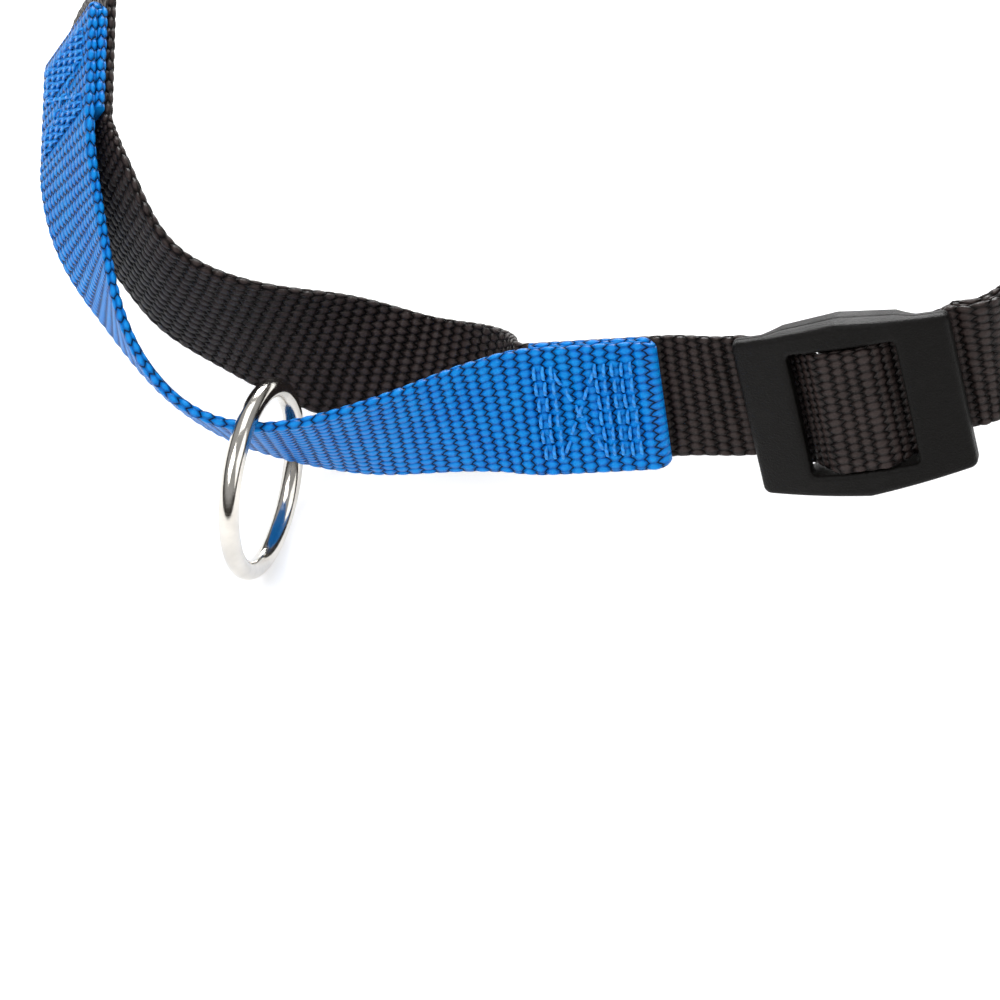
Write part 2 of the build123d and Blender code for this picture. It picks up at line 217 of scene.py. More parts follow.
class HardwareSettings(bpy.types.PropertyGroup):
    """Sizes and colours of the ring, keeper loop and slider."""

    ring_wire: length("Ring wire", "Thickness of the pull ring's wire", 4.0 * MM)
    slider_length: length("Slider length", "Length of the slider along the strap", 42.0 * MM)
    slider_end: length("Slider end height", "Height of the slider at its ends", 32.0 * MM)
    slider_middle: length("Slider middle height", "Height of the slider at its middle", 36.5 * MM)
    window_length: length("Window length", "Length of the slider's window", 21.0 * MM)
    window_height: length("Window height", "Height of the slider's window", 26.0 * MM)
    nickel: colour("Nickel", "Colour of the polished plate", (0.70, 0.67, 0.62))
    plastic: colour("Slider plastic", "Colour of the moulded slider", (0.0032, 0.0028, 0.0024))


class StageSettings(bpy.types.PropertyGroup):
    """Floor and light."""

    floor: colour("Floor", "Colour of the floor", (0.93, 0.93, 0.93))
    lamp_power: FloatProperty(
        name="Lamp power", description="Power of the main lamp", default=8.5, unit="POWER"
    )


class CollarSettings(bpy.types.PropertyGroup):
    """Everything a user may change."""

    webbing: PointerProperty(type=WebbingSettings)
    thread: PointerProperty(type=ThreadSettings)
    hardware: PointerProperty(type=HardwareSettings)
    stage: PointerProperty(type=StageSettings)


# ---------------------------------------------------------------- strap geometry
def unit(vector):
    """The same direction with length one."""
    vector = np.asarray(vector, float)
    return vector / np.linalg.norm(vector)


def strap_axes(tangent, lean):
    """Tangent, width and outward directions of webbing that runs along the tangent."""
    along = unit(tangent)
    level = unit(np.cross(along, (0.0, 0.0, 1.0)))
    upright = np.cross(level, along)
    width = upright * math.cos(math.radians(lean)) + level * math.sin(math.radians(lean))
    return along, width, np.cross(along, width)


def place_point(place, along, out):
    """A point beside a place, by its distances along and outwards."""
    tangent, _, outward = strap_axes(place[1], place[2])
    return np.array(place[0]) + tangent * along + outward * out


def station(place, along, out=0.0):
    """A route station beside a place."""
    return (*place_point(place, along, out), place[2])


def curved_run(stations, first_tangent, last_tangent, out=0.0, step=0.5):
    """Middle points and width directions of the smooth curve through the stations."""
    rows = np.array([list(row) for row in stations], float)
    spans = np.linalg.norm(np.diff(rows[:, :3], axis=0), axis=1)
    knots = np.concatenate([[0.0], np.cumsum(spans)])
    count = len(rows)
    matrix = np.eye(count)
    slopes = np.zeros((count, 4))
    slopes[0, :3] = unit(first_tangent)
    slopes[-1, :3] = unit(last_tangent)
    rises = np.diff(rows, axis=0) / spans[:, None]
    for i in range(1, count - 1):
        matrix[i, i - 1] = spans[i]
        matrix[i, i] = 2 * (spans[i - 1] + spans[i])
        matrix[i, i + 1] = spans[i - 1]
        slopes[i] = 3 * (spans[i] * rises[i - 1] + spans[i - 1] * rises[i])
    slopes = np.linalg.solve(matrix, slopes)
    points, widths = [], []
    for distance in np.linspace(0, knots[-1], max(3, round(knots[-1] / step) + 1)):
        i = min(int(np.searchsorted(knots, distance, side="right")) - 1, count - 2)
        u = (distance - knots[i]) / spans[i]
        start, end = rows[i], rows[i + 1]
        leave, arrive = slopes[i] * spans[i], slopes[i + 1] * spans[i]
        value = start * (2 * u**3 - 3 * u**2 + 1) + leave * (u**3 - 2 * u**2 + u)
        value = value + end * (3 * u**2 - 2 * u**3) + arrive * (u**3 - u**2)
        slope = (start - end) * (6 * u**2 - 6 * u) + leave * (3 * u**2 - 4 * u + 1)
        slope = slope + arrive * (3 * u**2 - 2 * u)
        _, width, outward = strap_axes(slope[:3], value[3])
        points.append(value[:3] + outward * out)
        widths.append(width)
    return np.array(points), np.array(widths)


def rounded_line(corners, radius, step=0.25):
    """Points of a flat line through the corners, each inner corner rounded as far as its runs allow."""
    corners = np.array(corners, float)
    line = [corners[0]]
    for i in range(1, len(corners) - 1):
        back, ahead = corners[i - 1] - corners[i], corners[i + 1] - corners[i]
        room = min(np.linalg.norm(back), np.linalg.norm(ahead))
        back, ahead = unit(back), unit(ahead)
        half = math.acos(max(-1.0, min(1.0, float(back @ ahead)))) / 2
        if half > math.pi / 2 - 0.01:
            line.append(corners[i])
            continue
        reach = min(radius / math.tan(half), room * 0.499)
        bend = reach * math.tan(half)
        centre = corners[i] + unit(back + ahead) * (bend / math.sin(half))
        start, end = corners[i] + back * reach - centre, corners[i] + ahead * reach - centre
        turn = math.pi - 2 * half
        pieces = max(3, int(turn * bend / step) + 1)
        for j in range(pieces + 1):
            share = j / pieces
            spread = math.sin((1 - share) * turn), math.sin(share * turn)
            line.append(centre + (start * spread[0] + end * spread[1]) / math.sin(turn))
    line.append(corners[-1])
    dense = [line[0]]
    for a, b in zip(line, line[1:]):
        pieces = max(1, int(np.linalg.norm(b - a) / 0.5))
        dense += [a + (b - a) * j / pieces for j in range(1, pieces + 1)]
    return np.array(dense)


def flat_run(place, corners, radius):
    """Middle points and width directions of webbing bent in the edge-on plane of a place."""
    tangent, width, outward = strap_axes(place[1], place[2])
    line = rounded_line(corners, radius)
    points = np.array(place[0]) + line[:, :1] * tangent + line[:, 1:] * outward
    return points, np.tile(width, (len(points), 1))


def eased_run(first, last, step=0.5):
    """Webbing from one spot to another, its width turning evenly. A spot is a place, along and out."""
    start, end = place_point(*first), place_point(*last)
    span = float(np.linalg.norm(end - start))
    leave, arrive = unit(first[0][1]) * span, unit(last[0][1]) * span
    u = np.linspace(0, 1, max(3, round(span / step) + 1))[:, None]
    points = start * (2 * u**3 - 3 * u**2 + 1) + leave * (u**3 - 2 * u**2 + u)
    points = points + end * (3 * u**2 - 2 * u**3) + arrive * (u**3 - u**2)
    widths = [strap_axes(place[1], place[2])[1] for place, _, _ in (first, last)]
    return points, widths[0] * (1 - u) + widths[1] * u


def reversed_run(run):
    """The same run, followed the other way."""
    return run[0][::-1], run[1][::-1]


def joined(runs):
    """One run from several that follow each other."""
    points = [runs[0][0]]
    widths = [runs[0][1]]
    for run in runs[1:]:
        skip = 1 if np.linalg.norm(run[0][0] - points[-1][-1]) < 0.2 else 0
        points.append(run[0][skip:])
        widths.append(run[1][skip:])
    return np.concatenate(points), np.concatenate(widths)


def spaced(run, step):
    """Distances, points, normals and widths at even steps along a run."""
    points, widths = run
    travelled = np.concatenate([[0.0], np.cumsum(np.linalg.norm(np.diff(points, axis=0), axis=1))])
    distances = np.linspace(0, travelled[-1], round(travelled[-1] / step) + 1)
    even = np.stack([np.interp(distances, travelled, points[:, i]) for i in range(3)], axis=1)
    across = np.stack([np.interp(distances, travelled, widths[:, i]) for i in range(3)], axis=1)
    tangents = np.gradient(even, axis=0)
    across = across / np.linalg.norm(across, axis=1, keepdims=True)
    normals = np.cross(tangents, across)
    normals = normals / np.linalg.norm(normals, axis=1, keepdims=True)
    return distances, even, normals, across


def webbing_section(width, thick):
    """Points of the webbing's cross-section: across, up, and distance round, with round selvedges."""
    edge = SELVEDGE * thick
    flat = width / 2 - edge
    across = np.linspace(-flat, flat, SECTION_COLUMNS)
    turns = np.radians(np.linspace(90, -90, SELVEDGE_STEPS)[1:-1])
    upper = [(y, thick / 2) for y in across]
    right = [(flat + edge * math.cos(turn), thick / 2 * math.sin(turn)) for turn in turns]
    points = np.array(upper + right)
    points = np.concatenate([points, -points])
    around = np.linalg.norm(np.diff(points, axis=0, append=points[:1]), axis=1)
    around = np.concatenate([[0.0], np.cumsum(around)])
    return points, around


def build_mesh(name, vertices, faces, uvs=None):
    """An object from points in metres and faces, with one map value per face corner."""
    mesh = bpy.data.meshes.new(name)
    mesh.from_pydata([tuple(v) for v in vertices], [], [tuple(f) for f in faces])
    if uvs is not None:
        layer = mesh.uv_layers.new(name="weave")
        layer.data.foreach_set("uv", np.asarray(uvs, np.float32).ravel())
    mesh.polygons.foreach_set("use_smooth", [True] * len(mesh.polygons))
    mesh.update()
    piece = bpy.data.objects.new(name, mesh)
    bpy.context.scene.collection.objects.link(piece)
    return piece


def even_width(distances):
    """No change of width anywhere along a length of webbing."""
    return np.ones_like(distances)


def sewn_width(distances):
    """Webbing spread a little where it is folded and sewn at both ends, and drawn in at the folds."""
    nearest = np.minimum(distances, distances[-1] - distances)
    spread = 1 + SEWN_SPREAD * (1 - np.clip((nearest - SPREAD_LENGTH) / SPREAD_FADE, 0, 1) ** 2)
    return spread - FOLD_PINCH * np.exp(-(((nearest - FOLD_AT) / FOLD_WIDTH) ** 2))


def webbing(name, run, settings, thick=WEB_THICK, width_of=even_width):
    """A length of webbing along a run, with its ribs raised and its ends cut square."""
    rib, width = settings.rib / MM, settings.width / MM
    distances, middles, normals, across = spaced(run, rib / ROWS_PER_RIB)
    section, around = webbing_section(width, thick)
    size = len(section)
    ribs = settings.rib_height / MM * (np.abs(np.cos(math.pi * distances / rib)) ** 0.8 - RIB_SINK)
    lift = np.sign(section[:, 1]) * (np.abs(section[:, 1]) / (thick / 2)) ** 2
    inset = width / 2 - np.abs(section[:, 0])
    lift = lift * np.where(inset < SELVEDGE_SOFT, 0.6, 1.0)
    heights = section[None, :, 1] + ribs[:, None] * lift[None, :]
    bulge = np.sign(section[:, 0]) * (inset < SELVEDGE_WIDE) * 0.5
    sides = section[None, :, 0] + bulge[None, :] * ribs[:, None]
    sides = sides * width_of(distances)[:, None]
    vertices = middles[:, None] + across[:, None] * sides[..., None]
    vertices = vertices + normals[:, None] * heights[..., None]
    rows = len(distances)
    i, j = np.meshgrid(np.arange(rows - 1), np.arange(size), indexing="ij")
    i, j = i.ravel(), j.ravel()
    k = (j + 1) % size
    faces = np.stack([i * size + j, (i + 1) * size + j, (i + 1) * size + k, i * size + k], axis=1)
    near, far = distances[i], distances[i + 1]
    low, high = around[j], around[j + 1]
    uvs = np.stack([near, low, far, low, far, high, near, high], axis=1) * MM
    caps = [list(range(size)), list(range(rows * size - 1, (rows - 1) * size - 1, -1))]
    cap_uvs = np.zeros(4 * size)
    piece = build_mesh(
        name,
        vertices.reshape(-1, 3) * MM,
        faces.tolist() + caps,
        np.concatenate([uvs.ravel(), cap_uvs]),
    )
    for polygon in piece.data.polygons[-2:]:
        polygon.use_smooth = False
    return piece


# ---------------------------------------------------------------- material nodes
def start_material(name):
    """A material with an empty node tree, its shader and its output."""
    material = bpy.data.materials.new(name)
    material.use_nodes = True
    tree = material.node_tree
    tree.nodes.clear()
    output = tree.nodes.new("ShaderNodeOutputMaterial")
    shader = tree.nodes.new("ShaderNodeBsdfPrincipled")
    tree.links.new(shader.outputs["BSDF"], output.inputs["Surface"])
    return material, tree, shader


def feed(tree, socket, value):
    """Links an output to a socket, or sets the socket's own value."""
    if isinstance(value, bpy.types.NodeSocket):
        tree.links.new(value, socket)
    else:
        socket.default_value = value


def maths(tree, operation, *values):
    """The result of a Math node."""
    node = tree.nodes.new("ShaderNodeMath")
    node.operation = operation
    for socket, value in zip(node.inputs, values):
        feed(tree, socket, value)
    return node.outputs[0]


def opaque(values):
    """Three colour values with full opacity."""
    return (*values, 1.0)


def mixed(tree, share, first, second):
    """A colour between two."""
    node = tree.nodes.new("ShaderNodeMix")
    node.data_type = "RGBA"
    feed(tree, node.inputs["Factor"], share)
    feed(tree, node.inputs["A"], first)
    feed(tree, node.inputs["B"], second)
    return node.outputs["Result"]


def remapped(tree, value, low, high, new_low, new_high):
    """A value moved smoothly from one range to another."""
    node = tree.nodes.new("ShaderNodeMapRange")
    node.interpolation_type = "SMOOTHSTEP"
    for socket, setting in zip(node.inputs, (value, low, high, new_low, new_high)):
        feed(tree, socket, setting)
    return node.outputs["Result"]


def noise(tree, where, scale, detail=3.0, roughness=0.55):
    """Noise at a coordinate."""
    node = tree.nodes.new("ShaderNodeTexNoise")
    feed(tree, node.inputs["Vector"], where)
    node.inputs["Scale"].default_value = scale
    node.inputs["Detail"].default_value = detail
    node.inputs["Roughness"].default_value = roughness
    return node.outputs["Fac"]


def scaled(tree, where, scale):
    """A coordinate stretched by three factors."""
    node = tree.nodes.new("ShaderNodeMapping")
    feed(tree, node.inputs["Vector"], where)
    node.inputs["Scale"].default_value = scale
    return node.outputs["Vector"]


def bumped(tree, shader, height, strength, distance):
    """Gives the shader a bump from a height."""
    node = tree.nodes.new("ShaderNodeBump")
    node.inputs["Strength"].default_value = strength
    node.inputs["Distance"].default_value = distance
    feed(tree, node.inputs["Height"], height)
    tree.links.new(node.outputs["Normal"], shader.inputs["Normal"])


def object_coordinates(tree):
    """The piece's own coordinates."""
    return tree.nodes.new("ShaderNodeTexCoord").outputs["Object"]


def weave_coordinates(tree):
    """Distance along and round a piece of webbing or thread, in metres."""
    node = tree.nodes.new("ShaderNodeUVMap")
    node.uv_map = "weave"
    return node.outputs["UV"]


def woven_cells(tree, along, across):
    """Height of every other rib's cells. Their pointed ends meet the next rib's in a zigzag."""
    a = maths(tree, "FRACT", maths(tree, "ADD", maths(tree, "MULTIPLY", along, 0.5), 0.5))
    a = maths(tree, "ABSOLUTE", maths(tree, "MULTIPLY", maths(tree, "SUBTRACT", a, 0.5), 2.0))
    b = maths(tree, "SUBTRACT", maths(tree, "FRACT", maths(tree, "ADD", across, 0.5)), 0.5)
    b = maths(tree, "ABSOLUTE", maths(tree, "MULTIPLY", b, 2.0))
    half = maths(tree, "SUBTRACT", 0.67, maths(tree, "MULTIPLY", b, 0.34))
    reach = maths(tree, "POWER", maths(tree, "DIVIDE", a, half), 3.0)
    rib = maths(tree, "POWER", maths(tree, "MAXIMUM", maths(tree, "SUBTRACT", 1.0, reach), 0.0), 0.8)
    side = maths(tree, "MULTIPLY", maths(tree, "POWER", b, 3.0), 0.42)
    return maths(tree, "MULTIPLY", rib, maths(tree, "SUBTRACT", 1.0, side))


def webbing_material(name, yarn, lighter_tone_and_highlight, settings):
    """Coarse woven nylon: pointed cells in ribs, with every other rib shifted by half a cell. The gaps
    between cells carry painted shade, and the cells' crests a painted highlight.
    """
    material, tree, shader = start_material(name)
    where = weave_coordinates(tree)
    wander = maths(tree, "SUBTRACT", noise(tree, where, 420.0, 2.0), 0.5)
    parts = tree.nodes.new("ShaderNodeSeparateXYZ")
    feed(tree, parts.inputs[0], where)
    along = maths(tree, "DIVIDE", parts.outputs["X"], settings.rib)
    along = maths(tree, "ADD", along, maths(tree, "MULTIPLY", wander, 0.35))
    across = maths(tree, "DIVIDE", parts.outputs["Y"], settings.cell)
    across = maths(tree, "ADD", across, maths(tree, "MULTIPLY", wander, 0.3))
    even = woven_cells(tree, along, across)
    odd = woven_cells(tree, maths(tree, "ADD", along, 1.0), maths(tree, "ADD", across, 0.5))
    cells = maths(tree, "MAXIMUM", even, odd)
    fibre = noise(tree, scaled(tree, where, (900.0, 5200.0, 1.0)), 1.0, 3.0, 0.6)
    patches = noise(tree, where, 160.0, 3.0)
    # The lighter colour is random lighter tone in patches and fibres and a painted highlight on the cells'
    # crests; the darkest colour is painted shade for the gaps between the cells.
    yarn, lighter_tone_and_highlight, painted_gap_shade = opaque(yarn), opaque(lighter_tone_and_highlight), opaque(value * 0.04 for value in yarn)
    body = mixed(tree, remapped(tree, patches, 0.3, 0.7, 0.0, 0.25), yarn, lighter_tone_and_highlight)
    body = mixed(tree, remapped(tree, fibre, 0.42, 0.75, 0.0, 0.4), body, lighter_tone_and_highlight)
    # Painted highlight on the crests of the cells.
    body = mixed(tree, remapped(tree, cells, 0.78, 1.0, 0.0, 0.4), body, lighter_tone_and_highlight)
    # Painted shade: darker towards the low gaps between the cells, where the ribs' relief would shade
    # them.
    shade = mixed(tree, remapped(tree, cells, 0.12, 0.66, 0.0, 1.0), painted_gap_shade, body)
    feed(tree, shader.inputs["Base Color"], shade)
    feed(tree, shader.inputs["Roughness"], remapped(tree, fibre, 0.3, 0.7, 0.3, 0.5))
    shader.inputs["Specular IOR Level"].default_value = 0.16
    height = maths(tree, "ADD", cells, maths(tree, "MULTIPLY", fibre, 0.16))
    bumped(tree, shader, height, 1.0, 0.0011)
    return material


def thread_material(name, yarn):
    """Twisted sewing thread."""
    material, tree, shader = start_material(name)
    where = weave_coordinates(tree)
    twist = tree.nodes.new("ShaderNodeTexWave")
    feed(tree, twist.inputs["Vector"], scaled(tree, where, (520.0, 300.0, 1.0)))
    twist.bands_direction = "DIAGONAL"
    twist.inputs["Scale"].default_value = 1.0
    shade = mixed(tree, twist.outputs["Fac"], opaque(value * 0.55 for value in yarn), opaque(yarn))
    patches = noise(tree, object_coordinates(tree), 300.0)
    lighter_tone_and_highlight = opaque(min(1.0, value * 1.4 + 0.02) for value in yarn)
    shade = mixed(tree, remapped(tree, patches, 0.45, 0.7, 0.0, 0.35), shade, lighter_tone_and_highlight)
    feed(tree, shader.inputs["Base Color"], shade)
    feed(tree, shader.inputs["Roughness"], remapped(tree, patches, 0.3, 0.7, 0.32, 0.5))
    bumped(tree, shader, twist.outputs["Fac"], 0.6, 0.0001)
    return material


def nickel_material(settings):
    """Polished nickel plate with fine scratches and slight clouding."""
    material, tree, shader = start_material("polished_nickel")
    where = object_coordinates(tree)
    clouds = noise(tree, where, 90.0, 4.0)
    scratches = noise(tree, scaled(tree, where, (300.0, 2600.0, 2600.0)), 1.0, 4.0, 0.7)
    bright = opaque(settings.nickel)
    dull = opaque(value * 0.78 for value in settings.nickel)
    shade = mixed(tree, remapped(tree, clouds, 0.35, 0.7, 0.0, 1.0), bright, dull)
    feed(tree, shader.inputs["Base Color"], shade)
    shader.inputs["Metallic"].default_value = 1.0
    feed(tree, shader.inputs["Roughness"], remapped(tree, scratches, 0.35, 0.75, 0.09, 0.24))
    bumped(tree, shader, scratches, 0.12, 0.00004)
    return material


def plastic_material(settings):
    """Moulded plastic with a fine satin grain, rubbed a little lighter on its worn patches."""
    material, tree, shader = start_material("satin_plastic")
    where = object_coordinates(tree)
    grain = noise(tree, where, 3200.0, 2.0, 0.6)
    rubbed = noise(tree, where, 110.0, 4.0)
    base = opaque(settings.plastic)
    worn = opaque(value * 1.9 + 0.004 for value in settings.plastic)
    shade = mixed(tree, remapped(tree, rubbed, 0.5, 0.75, 0.0, 0.6), base, worn)
    feed(tree, shader.inputs["Base Color"], shade)
    feed(tree, shader.inputs["Roughness"], remapped(tree, rubbed, 0.3, 0.7, 0.36, 0.5))
    shader.inputs["Specular IOR Level"].default_value = 0.13
    bumped(tree, shader, grain, 0.9, 0.0002)
    return material


def floor_material(settings):
    """Plain pale floor with a faint mottle."""
    material, tree, shader = start_material("pale_floor")
    mottle = noise(tree, object_coordinates(tree), 3.0)
    pale = opaque(settings.floor)
    greyer = opaque(value * 0.985 for value in settings.floor)
    feed(tree, shader.inputs["Base Color"], mixed(tree, mottle, pale, greyer))
    shader.inputs["Roughness"].default_value = 0.8
    shader.inputs["Specular IOR Level"].default_value = 0.2
    shader.inputs["Emission Color"].default_value = (1.0, 1.0, 1.0, 1.0)
    shader.inputs["Emission Strength"].default_value = 0.35
    return material


MATERIALS = {}


def finish_piece(piece, material):
    """Gives a piece its material."""
    piece.data.materials.append(material)


def shared(name, make, *details):
    """The material of that name, made when it is first asked for."""
    if name not in MATERIALS:
        MATERIALS[name] = make(*details)
    return MATERIALS[name]


def black_webbing(settings):
    """The neck strap's webbing."""
    # Lighter colour: random lighter tone in patches and fibres, and the painted highlight on the cells'
    # crests.
    lighter_tone_and_highlight = tuple(value * 7.0 + 0.006 for value in settings.black)
    return shared("black", webbing_material, "black_webbing", tuple(settings.black), lighter_tone_and_highlight, settings)


def blue_webbing(settings):
    """The control strap's webbing."""
    red, green, blue = settings.blue
    # Lighter cyan: random lighter tone in patches and fibres, and the painted highlight on the cells'
    # crests.
    lighter_tone_and_highlight = (red, green * 2.3 + 0.02, min(1.0, blue * 1.3))
    return shared("blue", webbing_material, "blue_webbing", tuple(settings.blue), lighter_tone_and_highlight, settings)


# ---------------------------------------------------------------- stitches
def stitch_rows(positions, height, settings):
    """Middles and slants of stitches in rows across the strap."""
    pitch = settings.pitch / MM
    count = int(height // pitch)
    marks = []
    for along in positions:
        marks += [(along, (i - (count - 1) / 2) * pitch, 90.0) for i in range(count)]
    return marks


def stitch_line(start, end, height, settings):
    """Middles and slants of stitches on a slanting line across the strap."""
    count = int(math.hypot(end - start, height) // (settings.pitch / MM))
    slant = math.degrees(math.atan2(height, end - start))
    shares = [(i + 0.5) / count for i in range(count)]
    return [(start + (end - start) * share, height * (share - 0.5), slant) for share in shares]


def stitches(name, place, layers, marks, settings):
    """Raised thread stitches on faces of a strap. A layer is a distance outwards and the side it faces."""
    tangent, width, outward = strap_axes(place[1], place[2])
    radius, long = settings.radius / MM, settings.stitch / MM
    rings, sides = 9, 8
    chance = np.random.default_rng(7)
    vertices, faces, uvs = [], [], []
    for out, facing in layers:
        for along, across, slant in marks:
            turn = math.radians(slant + chance.uniform(-5, 5))
            line = tangent * math.cos(turn) + width * math.sin(turn)
            side = np.cross(outward * facing, line)
            centre = np.array(place[0]) + tangent * (along + chance.uniform(-0.12, 0.12))
            centre = centre + width * (across + chance.uniform(-0.12, 0.12)) + outward * out
            first = len(vertices)
            for i in range(rings):
                share = i / (rings - 1) * 2 - 1
                middle = centre + line * share * long / 2
                middle = middle + outward * facing * radius * (2.2 * (1 - share**4) - 0.75)
                thick = radius * (1 - 0.35 * share**4)
                for j in range(sides):
                    a = math.tau * j / sides
                    rim = side * math.cos(a) + outward * facing * math.sin(a)
                    vertices.append((middle + rim * thick) * MM)
            for i in range(rings - 1):
                for j in range(sides):
                    k = (j + 1) % sides
                    a, b = first + i * sides, first + (i + 1) * sides
                    faces.append((a + j, a + k, b + k, b + j))
                    near, far = i / rings * long * MM, (i + 1) / rings * long * MM
                    low, high = j / sides * 2 * MM, (j + 1) / sides * 2 * MM
                    uvs += [near, low, near, high, far, high, far, low]
            faces.append(tuple(range(first + sides - 1, first - 1, -1)))
            faces.append(tuple(range(first + (rings - 1) * sides, first + rings * sides)))
            uvs += [0.0] * (4 * sides)
    return build_mesh(name, vertices, faces, uvs)


def sewn_patch(fold, settings):
    """Five rows by the fold, three by the cut end, and a cross between them."""
    marks = stitch_rows([fold * (PATCH_REACH - 5.3 - 1.7 * i) for i in range(5)], 20.5, settings)
    marks += stitch_rows([-fold * (PATCH_REACH - 0.9 - 1.7 * i) for i in range(3)], 20.5, settings)
    for start, end in ((-8.0, 0.4), (0.4, -8.0)):
        marks += stitch_line(fold * start, fold * end, 18.0, settings)
    return marks


# ---------------------------------------------------------------- wire and slider
def ring_faces(rings, size, closed):
    """Faces between rings of points that follow each other, and back to the first ring if closed."""
    faces = []
    for i in range(rings if closed else rings - 1):
        n = (i + 1) % rings
        for j in range(size):
            k = (j + 1) % size
            faces.append((i * size + j, n * size + j, n * size + k, i * size + k))
    return faces


def wire_loop(name, centres, sides_of, radius, around=24):
    """A closed round wire through the centres. sides_of gives its two cross directions at each."""
    vertices = []
    for centre, (first, second) in zip(centres, sides_of):
        for j in range(around):
            a = math.tau * j / around
            vertices.append((centre + (first * math.cos(a) + second * math.sin(a)) * radius) * MM)
    return build_mesh(name, vertices, ring_faces(len(centres), around, True))


def outline_points(half_long, half_end, half_mid, radius):
    """Points of the slider's closed, six-sided and rounded outline, from the middle of its right end."""
    corners = [
        (half_long, 0),
        (half_long, half_end),
        (0, half_mid),
        (-half_long, half_end),
        (-half_long, -half_end),
        (0, -half_mid),
        (half_long, -half_end),
        (half_long, 0),
    ]
    return rounded_line(corners, radius, 0.2)


def ring_of(outline, angles):
    """The outline's points in the directions of the angles."""
    bearings = np.unwrap(np.arctan2(outline[:, 1], outline[:, 0]))
    reach = np.linalg.norm(outline, axis=1)
    order = np.argsort(bearings % math.tau)
    found = np.interp(angles, (bearings % math.tau)[order], reach[order], period=math.tau)
    return np.stack([np.cos(angles) * found, np.sin(angles) * found], axis=1)


def rounding(distance, radius):
    """How far a rounded edge falls away at a distance from it."""
    near = min(distance, radius)
    return radius - math.sqrt(max(0.0, radius**2 - (radius - near) ** 2))


def slider_bow(x, half_long):
    """How far the slider's plate stands out at x, beyond its two ends."""
    return SLIDER_RISE * (1 - (x / half_long) ** 2)


def slider_back(x, y, half_long):
    """Height of the slider's back face. Above and below the window, two rails make it level and lower."""
    plate = SLIDER_TOP - SLIDER_PLATE + slider_bow(x, half_long)
    beside = min(1.0, max(0.0, (abs(y) - RAIL_START) / RAIL_STEP))
    ending = min(1.0, max(0.0, (RAIL_REACH + RAIL_FADE - abs(x)) / RAIL_FADE))
    foot = UPPER_RAIL_FOOT if y > 0 else LOWER_RAIL_FOOT
    return plate + (foot - plate) * beside * ending


def slider_loop(inner, outer, half_long):
    """One closed line round the slider's material: front, side wall with its parting groove, and back."""
    span = float(np.linalg.norm(outer - inner))
    edge = min(FRONT_EDGE, span * 0.3)
    shoulder = [0.0, edge * 0.12, edge * 0.4, edge]
    marks = shoulder + list(np.linspace(edge, span - edge, 9)[1:-1])
    marks += [span - mark for mark in shoulder[::-1]]
    spots = [inner + (outer - inner) * mark / span for mark in marks]
    loop = []
    for mark, spot in zip(marks, spots):
        drop = rounding(min(mark, span - mark), edge)
        loop.append((*spot, SLIDER_TOP + slider_bow(spot[0], half_long) - drop))
    high = SLIDER_TOP + slider_bow(outer[0], half_long) - edge
    low = slider_back(*outer, half_long) + BACK_EDGE
    for level in (0.35, 0.47, 0.5, 0.53, 0.65):
        groove = PARTING_GROOVE if level == 0.5 else 0.0
        loop.append((*(outer * (1 - groove)), high + (low - high) * level))
    for mark, spot in zip(marks[::-1], spots[::-1]):
        drop = rounding(min(mark, span - mark), BACK_EDGE)
        loop.append((*spot, slider_back(*spot, half_long) + drop))
    return loop


def slider_frame(place, settings):
    """The moulded slider: a convex plate with a window and two rails behind it."""
    tangent, width, outward = strap_axes(place[1], place[2])
    half_long = settings.slider_length / MM / 2
    half_end, half_middle = settings.slider_end / MM / 2, settings.slider_middle / MM / 2
    right, top = settings.window_length / MM / 2, settings.window_height / MM / 2
    corners = [(right, 0), (right, top), (-right, top), (-right, -top), (right, -top), (right, 0)]
    angles = np.linspace(0, math.tau, SLIDER_SPOKES, endpoint=False)
    outside = ring_of(outline_points(half_long, half_end, half_middle, OUTLINE_CORNER), angles)
    inside = ring_of(rounded_line(corners, WINDOW_CORNER, 0.2), angles)
    loops = [slider_loop(inner, outer, half_long) for inner, outer in zip(inside, outside)]
    vertices = []
    for x, y, z in (point for loop in loops for point in loop):
        vertices.append((np.array(place[0]) + tangent * x + width * y + outward * z) * MM)
    faces = [(face[0], *face[:0:-1]) for face in ring_faces(SLIDER_SPOKES, len(loops[0]), True)]
    return vertices, faces


def slider_bar(place, reach):
    """The bar across the slider's window, with rounded edges."""
    tangent, width, outward = strap_axes(place[1], place[2])
    half = BAR_THICK / 2
    corners = [(-BAR_HALF, 0), (-BAR_HALF, half), (BAR_HALF, half)]
    corners += [(BAR_HALF, -half), (-BAR_HALF, -half), (-BAR_HALF, 0)]
    section = rounded_line(corners, 0.8, 0.2)[:-1]
    vertices = []
    for y in np.linspace(-reach, reach, BAR_RINGS):
        for x, z in section:
            spot = tangent * x + width * y + outward * (z + BAR_OUT)
            vertices.append((np.array(place[0]) + spot) * MM)
    size = len(section)
    faces = ring_faces(BAR_RINGS, size, False)
    faces.append(tuple(range(size - 1, -1, -1)))
    faces.append(tuple(range((BAR_RINGS - 1) * size, BAR_RINGS * size)))
    return vertices, faces


